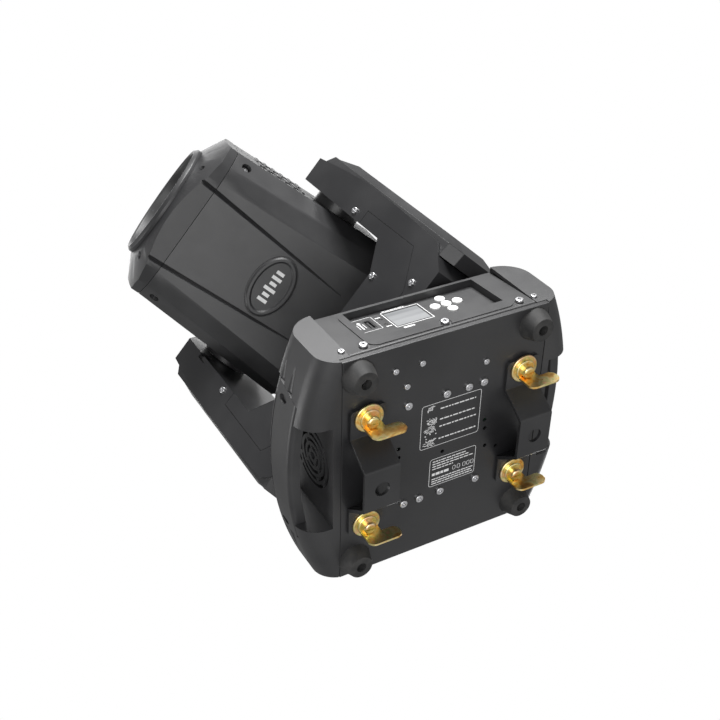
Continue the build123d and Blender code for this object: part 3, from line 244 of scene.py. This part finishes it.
def motorBody():
    # thin laminations seen as fine rings across the body
    p = Paint("motorBody")
    stack = p.noise(1.0, 2.0, place=p.stretched(8, 8, 1600))
    colour = p.mix(stack.between(0.4, 0.6), (0.05, 0.05, 0.055, 1), (0.16, 0.16, 0.17, 1))
    return p.surface(Base_Color=colour, Metallic=0.8, Roughness=0.42 + stack * 0.1,
                     Normal=p.bump(stack, 0.00005, 0.5))


def circuitBoard():
    # green resist over tracks that run in two directions
    p = Paint("circuitBoard")
    alongX = p.noise(1.0, 1.0, place=p.stretched(40, 420, 420)).between(0.5, 0.54)
    alongY = p.noise(1.0, 1.0, place=p.stretched(420, 40, 40)).between(0.52, 0.56)
    tracks = (alongX + alongY).clamped()
    colour = p.mix(tracks, (0.006, 0.07, 0.03, 1), (0.02, 0.17, 0.07, 1))
    return p.surface(Base_Color=colour, Roughness=0.3 + tracks * 0.1, Normal=p.bump(tracks, 0.00004, 0.5))


def wheelMetal():
    p = Paint("wheelMetal")
    tone = p.noise(35.0, 2.0)
    colour = p.mix(tone, (0.40, 0.42, 0.46, 1), (0.66, 0.68, 0.72, 1))
    return p.surface(Base_Color=colour, Metallic=1.0, Roughness=0.28 + tone * 0.1)


def printedWhite():
    p = Paint("printedWhite")
    ink = p.noise(700.0, 3.0)
    colour = p.mix(ink, (0.55, 0.55, 0.55, 1), (0.78, 0.78, 0.78, 1))
    return p.surface(Base_Color=colour, Roughness=0.5 + ink * 0.1)


finishes = {
    "black_plastic": mouldedBlackPlastic(),
    "black_sheet": coatedSheetBlack(),
    "yellow_zinc": yellowZinc(),
    "screw_steel": platedSteel(),
    "foot_rubber": mouldedRubber(),
    "key_white": whiteKey(),
    "display_face": displayWindow(),
    "lens_glass": coatedLens(),
    "mill_aluminium": bareAluminium(),
    "part_plastic": insertPlastic(),
    "motor_black": motorBody(),
    "board_green": circuitBoard(),
    "wheel_metal": wheelMetal(),
}
whitePrint = printedWhite()

slotOf = {row["node"]: row["material_slot"] for row in frame["record"]["subparts"]}


# weld in metres; flat, crisp and corner are angles in degrees; areaWeight favours large faces in the normals
edgeLook = {"weld": 0.00001, "flat": 0.4, "crisp": 28.0, "corner": 32.0, "segments": 2, "areaWeight": 80}
# radius of the broken edges on what is seen, in millimetres
brokenEdges = {"front_panel": 0.35, "side_shell_left": 0.4, "side_shell_right": 0.4, "bottom_plate": 0.3,
               "omega_brackets": 0.5, "yoke_frame": 0.5, "service_covers": 0.25, "arm_cover_left": 0.7,
               "arm_cover_right": 0.7, "front_cover": 0.5, "head_shell_upper": 0.3, "head_shell_lower": 0.3,
               "lens_ring": 0.4, "head_badges": 0.4, "control_plate": 0.2, "base_top_cover": 0.4,
               "rear_panel": 0.3, "carry_handles": 0.5, "camlock_left_front": 0.25, "camlock_left_rear": 0.25,
               "camlock_right_front": 0.25, "camlock_right_rear": 0.25, "rubber_feet": 0.3}


def dressNode(name, node):
    # loose triangles are welded, flat faces joined, sharp edges broken, and flat faces shaded flat
    mesh = node.data
    mesh.materials.clear()
    mesh.materials.append(finishes[slotOf[name]])
    mesh.polygons.foreach_set("use_smooth", np.ones(len(mesh.polygons), bool))
    weld = node.modifiers.new("weld", "WELD")
    weld.merge_threshold = edgeLook["weld"]
    if name in brokenEdges:
        join = node.modifiers.new("flats", "DECIMATE")
        join.decimate_type = "DISSOLVE"
        join.angle_limit = math.radians(edgeLook["flat"])
        breaking = node.modifiers.new("brokenEdges", "BEVEL")
        breaking.limit_method = "ANGLE"
        breaking.angle_limit = math.radians(edgeLook["corner"])
        breaking.width = brokenEdges[name] * mm
        breaking.segments = edgeLook["segments"]
        breaking.use_clamp_overlap = True
    split = node.modifiers.new("edges", "EDGE_SPLIT")
    split.split_angle = math.radians(edgeLook["crisp"])
    if name in brokenEdges:
        level = node.modifiers.new("flatNormals", "WEIGHTED_NORMAL")
        level.mode = "FACE_AREA_WITH_ANGLE"
        level.weight = edgeLook["areaWeight"]


for nodeName, nodeObject in nodes.items():
    dressNode(nodeName, nodeObject)
print("nodes dressed")


# printed marks: thin raised strokes, each a closed box lying in a plane


def strokeBoxes(strokes, thick):
    # a stroke from a to b of width w is the box a..b by +-w/2 by thick; all strokes are worked out at once
    strokes = np.array(strokes, float)
    start, end, width = strokes[:, 0:2], strokes[:, 2:4], strokes[:, 4:5]
    run = end - start
    along = run / np.linalg.norm(run, axis=1, keepdims=True)
    side = np.stack([-along[:, 1], along[:, 0]], 1) * width / 2
    flat = np.stack([start - side, end - side, end + side, start + side], 1)
    low = np.concatenate([flat, np.zeros((*flat.shape[:2], 1))], 2)
    high = low + np.array([0, 0, thick])
    points = np.concatenate([low, high], 1).reshape(-1, 3)
    box = np.array([[3, 2, 1, 0], [4, 5, 6, 7], [0, 1, 5, 4], [1, 2, 6, 5], [2, 3, 7, 6], [3, 0, 4, 7]])
    faces = (np.arange(len(strokes))[:, None, None] * 8 + box[None]).reshape(-1, 4)
    return points, faces


def buildPiece(name, points, faces, material, body):
    mesh = bpy.data.meshes.new(name)
    mesh.from_pydata(np.asarray(points) * mm, [], np.asarray(faces).tolist())
    mesh.materials.append(material)
    piece = bpy.data.objects.new(name, mesh)
    bpy.context.scene.collection.objects.link(piece)
    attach(piece, body)
    return piece


printThick = 0.05


def printOn(name, strokes, plane, body, material=None):
    # plane: a matrix in millimetres whose local XY plane carries the strokes, which grow along its local Z
    points, faces = strokeBoxes(strokes, printThick)
    ones = np.ones((len(points), 1))
    placed = (np.concatenate([points, ones], 1) @ np.array(plane).T)[:, :3]
    return buildPiece(name, placed, faces, material or whitePrint, body)


def outlineStrokes(x0, y0, x1, y1, corner, width, steps=4):
    # rounded rectangle: quarter circles at the corners joined by straight runs
    centres = [(x1 - corner, y1 - corner, 0), (x0 + corner, y1 - corner, 90),
               (x0 + corner, y0 + corner, 180), (x1 - corner, y0 + corner, 270)]
    angles = np.radians(np.linspace(0, 90, steps + 1))
    path = np.concatenate([np.stack([cx + corner * np.cos(angles + math.radians(turn)),
                                     cy + corner * np.sin(angles + math.radians(turn))], 1)
                           for cx, cy, turn in centres])
    after = np.roll(path, -1, 0)
    return np.concatenate([path, after, np.full((len(path), 1), width)], 1).tolist()


barLook = {"short": 1.6, "long": 4.8, "least": 1.0}


def wordBars(x0, x1, y, height, seed, gap=0.9):
    # a line of print as plain bars of uneven length
    dice = np.random.default_rng(seed)
    bars, at = [], x0
    while at < x1 - barLook["least"]:
        end = min(at + dice.uniform(barLook["short"], barLook["long"]), x1)
        bars.append((at, y, end, y, height))
        at = end + gap
    return bars


glyphLook = {"strokes": 9, "flatten": 0.6, "narrow": 0.8, "shift": 0.15, "width": 0.55}


def glyph(x, y, size, seed):
    # a small plain pictogram: a few short strokes inside a square
    dice = np.random.default_rng(seed)
    spots = dice.uniform(-0.5, 0.5, (glyphLook["strokes"], 4)) * size
    flatten, narrow = glyphLook["flatten"], glyphLook["narrow"]
    strokes = []
    for ax, ay, bx, by in spots:
        strokes.append((x + ax, y + ay * flatten, x + bx * narrow + glyphLook["shift"], y + by * flatten,
                        glyphLook["width"]))
    return strokes


# frames as (left, top, right, foot); rows as (y, right end); all in millimetres
plateMarks = {
    "line": 0.42, "corner": 2.2,
    "guide": (-22.0, -43.0, 34.5, 0.0),
    "guideLeft": -4.4, "guideRows": ((-36.3, 29.5), (-25.7, 29.0), (-18.6, 31.0), (-6.4, 33.0)),
    "guidePrint": 1.15,
    "signX": -13.6, "signY": (-38.3, -25.7, -18.2, -4.6), "firstSign": 9.0, "sign": 12.5,
    "overSignX": -12.2, "overSign": 11.0,
    "dots": ((-18.0, -12.5), (-13.5, -13.5), (-8.0, -12.6), (-17.0, -9.6)), "dotLong": 1.1, "dotWide": 1.0,
    "rating": (-11.0, 14.0, 34.0, 42.6), "margin": 2.6, "rightMargin": 1.5, "ratingPrint": 1.0,
    "upperRows": ((17.0, 24.0), (19.6, 27.0), (22.2, 31.5), (24.8, 12.0)), "lowerRows": (35.4, 37.8, 40.2),
    "boldRow": (30.4, 8.0), "boldPrint": 2.6,
    "boxX": (12.0, 16.5, 22.0, 26.0, 30.0), "boxTop": 28.0, "boxFoot": 32.0, "boxWide": 2.6,
    "boxCorner": 0.8, "boxLine": 0.4,
}


def markPlate(look):
    # the print hangs from the plate's underside, its local axes those of the object
    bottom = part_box("bottom_plate")[0].z / mm
    plane = Matrix(((1, 0, 0, 0), (0, 1, 0, 0), (0, 0, 1, bottom - printThick), (0, 0, 0, 1)))
    strokes = outlineStrokes(*look["guide"], look["corner"], look["line"])
    for row, (y, right) in enumerate(look["guideRows"]):
        strokes += wordBars(look["guideLeft"], right, y, look["guidePrint"], row)
    for row, y in enumerate(look["signY"]):
        strokes += glyph(look["signX"], y, look["sign"] if row else look["firstSign"], 20 + row)
        if row:
            strokes += glyph(look["overSignX"], y, look["overSign"], 40 + row)
    for x, y in look["dots"]:
        strokes.append((x, y, x + look["dotLong"], y, look["dotWide"]))
    left, _, right, _ = look["rating"]
    left += look["margin"]
    strokes += outlineStrokes(*look["rating"], look["corner"], look["line"])
    for row, (y, rowEnd) in enumerate(look["upperRows"]):
        strokes += wordBars(left, rowEnd, y, look["ratingPrint"], 60 + row, 0.7)
    boldY, boldEnd = look["boldRow"]
    strokes += wordBars(left, boldEnd, boldY, look["boldPrint"], 70, 0.8)
    for x in look["boxX"]:
        strokes += outlineStrokes(x, look["boxTop"], x + look["boxWide"], look["boxFoot"], look["boxCorner"],
                                  look["boxLine"], 2)
    for row, y in enumerate(look["lowerRows"]):
        strokes += wordBars(left, right - look["rightMargin"], y, look["ratingPrint"], 80 + row, 0.6)
    printOn("plateMarks", strokes, plane, "base")


# the control plate's face: its lean in degrees and where it stands at its foot
controlPlane = {"lean": 4.412, "y": -102.317, "z": 26.577}


def controlMatrix(lift):
    # the leaning control plate: local x is X, local y runs up the plate, local z out of it
    turn = Matrix.Rotation(math.radians(-controlPlane["lean"]), 4, "X")
    flip = Matrix(((1, 0, 0, 0), (0, 0, -1, -lift), (0, 1, 0, 0), (0, 0, 0, 1)))
    return Matrix.Translation((0, controlPlane["y"], controlPlane["z"])) @ turn @ flip


# frames as (left, foot, right, top); words as (left, right, y, height, seed, gap); lines as (from, to, width)
panelMarks = {
    "display": (-26.6, 35.3, 7.8, 61.9), "displayLine": 0.6,
    "usb": (-54.2, 40.2, -36.3, 61.2), "usbLine": 0.35, "corner": 0.3,
    "words": ((-24.5, -4.0, 63.4, 1.3, 90, 0.5), (-22.3, -12.5, 32.0, 2.2, 91, 0.5),
              (-22.0, 6.0, 28.8, 1.3, 92, 0.7), (-34.6, -29.8, 56.4, 1.1, 93, 0.4),
              (-33.2, -28.2, 40.4, 1.1, 94, 0.4)),
    "usbSign": ((-50.2, 45.0, -50.2, 56.0, 1.2), (-50.2, 57.0, -51.6, 54.4, 0.8),
                (-50.2, 57.0, -48.8, 54.4, 0.8), (-47.6, 46.0, -47.6, 53.5, 0.5),
                (-52.8, 46.0, -52.8, 53.5, 0.5)),
}


def markPanel(look):
    strokes = outlineStrokes(*look["display"], look["corner"], look["displayLine"], 1)
    strokes += outlineStrokes(*look["usb"], look["corner"], look["usbLine"], 1)
    for left, right, y, height, seed, gap in look["words"]:
        strokes += wordBars(left, right, y, height, seed, gap)
    strokes += look["usbSign"]
    printOn("panelMarks", strokes, controlMatrix(0.0), "base")


# each arrow as lines (from, to) about the key's centre
keyMarks = {
    "up": ((-1.5, -0.8, 0, 1.1), (0, 1.1, 1.5, -0.8)),
    "down": ((-1.5, 0.8, 0, -1.1), (0, -1.1, 1.5, 0.8)),
    "left": ((0.8, -1.5, -1.1, 0), (-1.1, 0, 0.8, 1.5)),
    "right": ((-0.8, -1.5, 1.1, 0), (1.1, 0, -0.8, 1.5)),
    "enter": ((-1.6, 0, 1.6, 0), (-1.6, 0, -0.6, 1.0), (-1.6, 0, -0.6, -1.0)),
}
keyPrint = {"width": 0.55, "lift": 1.17}


def markKeys(look):
    # each key's arrow, in its own plane, riding on its key
    inverse = controlMatrix(0.0).inverted()
    ink = Paint("keyInk")
    shade = ink.noise(500.0, 2.0)
    grey = ink.surface(Base_Color=ink.mix(shade, (0.10, 0.10, 0.10, 1), (0.2, 0.2, 0.2, 1)),
                       Roughness=0.5 + shade * 0.1)
    for key, lines in look.items():
        low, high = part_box("button_" + key)
        middle = inverse @ ((low + high) / 2 / mm)
        strokes = [(middle.x + ax, middle.y + ay, middle.x + bx, middle.y + by, keyPrint["width"])
                   for ax, ay, bx, by in lines]
        printOn("keyMark_" + key, strokes, controlMatrix(keyPrint["lift"]), "button_" + key,
                grey)

# pan and tilt at rest in degrees; out and lean place the badge's blank field in the upright head
badgeMarks = {"tiltHeight": 323.8, "pan": -48.1, "tilt": 63.7, "out": 73.95, "lean": 0.0587, "along": 21.0,
              "start": -15.0, "pitch": 6.0, "heights": (10.0, 7.0, 12.0, 7.0, 10.0, 8.0), "width": 3.4}


def markBadges(look):
    # a row of plain upright bars inside each oval; x runs along the tilt axis, y up the head
    pose = Matrix.Translation((0, 0, look["tiltHeight"])) @ Matrix.Rotation(math.radians(look["pan"]), 4, "Z")
    pose = pose @ Matrix.Rotation(math.radians(look["tilt"]), 4, "X")
    outward = Vector((0, -1, look["lean"])).normalized()
    upward = Vector((0, look["lean"], 1)).normalized()
    face = Matrix(((1, 0, 0, 0), (0, upward.y, outward.y, -look["out"]),
                   (0, upward.z, outward.z, look["along"]), (0, 0, 0, 1)))
    strokes = []
    for place, height in enumerate(look["heights"]):
        x = look["start"] + place * look["pitch"]
        strokes.append((x, -height / 2, x, height / 2, look["width"]))
    for side, turn in (("front", 0), ("rear", 180)):
        plane = pose @ Matrix.Rotation(math.radians(turn), 4, "Z") @ face
        printOn("badgeMark_" + side, strokes, plane, "head")


markPlate(plateMarks)
markPanel(panelMarks)
markKeys(keyMarks)
markBadges(badgeMarks)
print("marks printed")

# stage, lights and camera

stageLook = {"floorDrop": 2.5, "floorSize": 40.0, "floorColour": (0.93, 0.93, 0.93, 1),
             "sky": 1.0, "skyFill": 0.3}


def makeFloor(look):
    # one square: x and y at its corners, z at the drop
    half = look["floorSize"] / 2
    corners = [(-half, -half, -look["floorDrop"]), (half, -half, -look["floorDrop"]),
               (half, half, -look["floorDrop"]), (-half, half, -look["floorDrop"])]
    mesh = bpy.data.meshes.new("floor")
    mesh.from_pydata(corners, [], [(0, 1, 2, 3)])
    floor = bpy.data.objects.new("floor", mesh)
    bpy.context.scene.collection.objects.link(floor)
    p = Paint("floorPaint")
    mesh.materials.append(p.surface(Base_Color=look["floorColour"], Roughness=0.9))


def makeWorld(look):
    # white to the camera, softer as a light
    world = bpy.data.worlds.new("studio")
    world.use_nodes = True
    tree = world.node_tree
    tree.nodes.clear()
    seen = tree.nodes.new("ShaderNodeLightPath")
    bright = tree.nodes.new("ShaderNodeBackground")
    bright.inputs["Strength"].default_value = look["sky"]
    soft = tree.nodes.new("ShaderNodeBackground")
    soft.inputs["Strength"].default_value = look["skyFill"]
    for background in (bright, soft):
        background.inputs["Color"].default_value = (1, 1, 1, 1)
    pick = tree.nodes.new("ShaderNodeMixShader")
    out = tree.nodes.new("ShaderNodeOutputWorld")
    tree.links.new(seen.outputs["Is Camera Ray"], pick.inputs[0])
    tree.links.new(soft.outputs[0], pick.inputs[1])
    tree.links.new(bright.outputs[0], pick.inputs[2])
    tree.links.new(pick.outputs[0], out.inputs["Surface"])
    bpy.context.scene.world = world


lamps = {
    # name: (where it stands, where it points, size, watts)
    "keyAbove": ((0.35, -1.9, 0.9), (0, 0, 0.1), 1.1, 105),
    "underSoft": ((-1.1, -0.9, -1.4), (0, 0, 0.2), 1.4, 24),
    "leftStrip": ((-1.9, 0.5, 0.9), (0, 0, 0.3), 0.8, 12),
    "topSoft": ((0.4, 0.6, 2.2), (0, 0, 0.2), 1.6, 22),
    "rearSoft": ((1.2, 1.9, 0.8), (0, 0, 0.2), 1.2, 14),
}


def makeLamps():
    for name, (where, target, size, watts) in lamps.items():
        lamp = bpy.data.lights.new(name, "AREA")
        lamp.shape = "SQUARE"
        lamp.size = size
        lamp.energy = watts
        holder = bpy.data.objects.new(name, lamp)
        holder.location = where
        holder.rotation_euler = (Vector(target) - Vector(where)).to_track_quat("-Z", "Y").to_euler()
        holder.visible_camera = False
        bpy.context.scene.collection.objects.link(holder)


viewpoint = {"where": (-0.4272, -0.5642, -0.5728), "turn": (145.887, 29.358, -1.272), "lens": 56.664}


def makeCamera(look):
    camera = bpy.data.cameras.new("camera")
    camera.lens = look["lens"]
    camera.sensor_width = 36.0
    camera.clip_start = 0.01
    holder = bpy.data.objects.new("camera", camera)
    holder.location = look["where"]
    holder.rotation_euler = Euler([math.radians(angle) for angle in look["turn"]], "XYZ")
    bpy.context.scene.collection.objects.link(holder)
    bpy.context.scene.camera = holder


makeFloor(stageLook)
makeWorld(stageLook)
makeLamps()
makeCamera(viewpoint)
bpy.context.scene.view_settings.view_transform = "Standard"
print("stage, lamps and camera set")
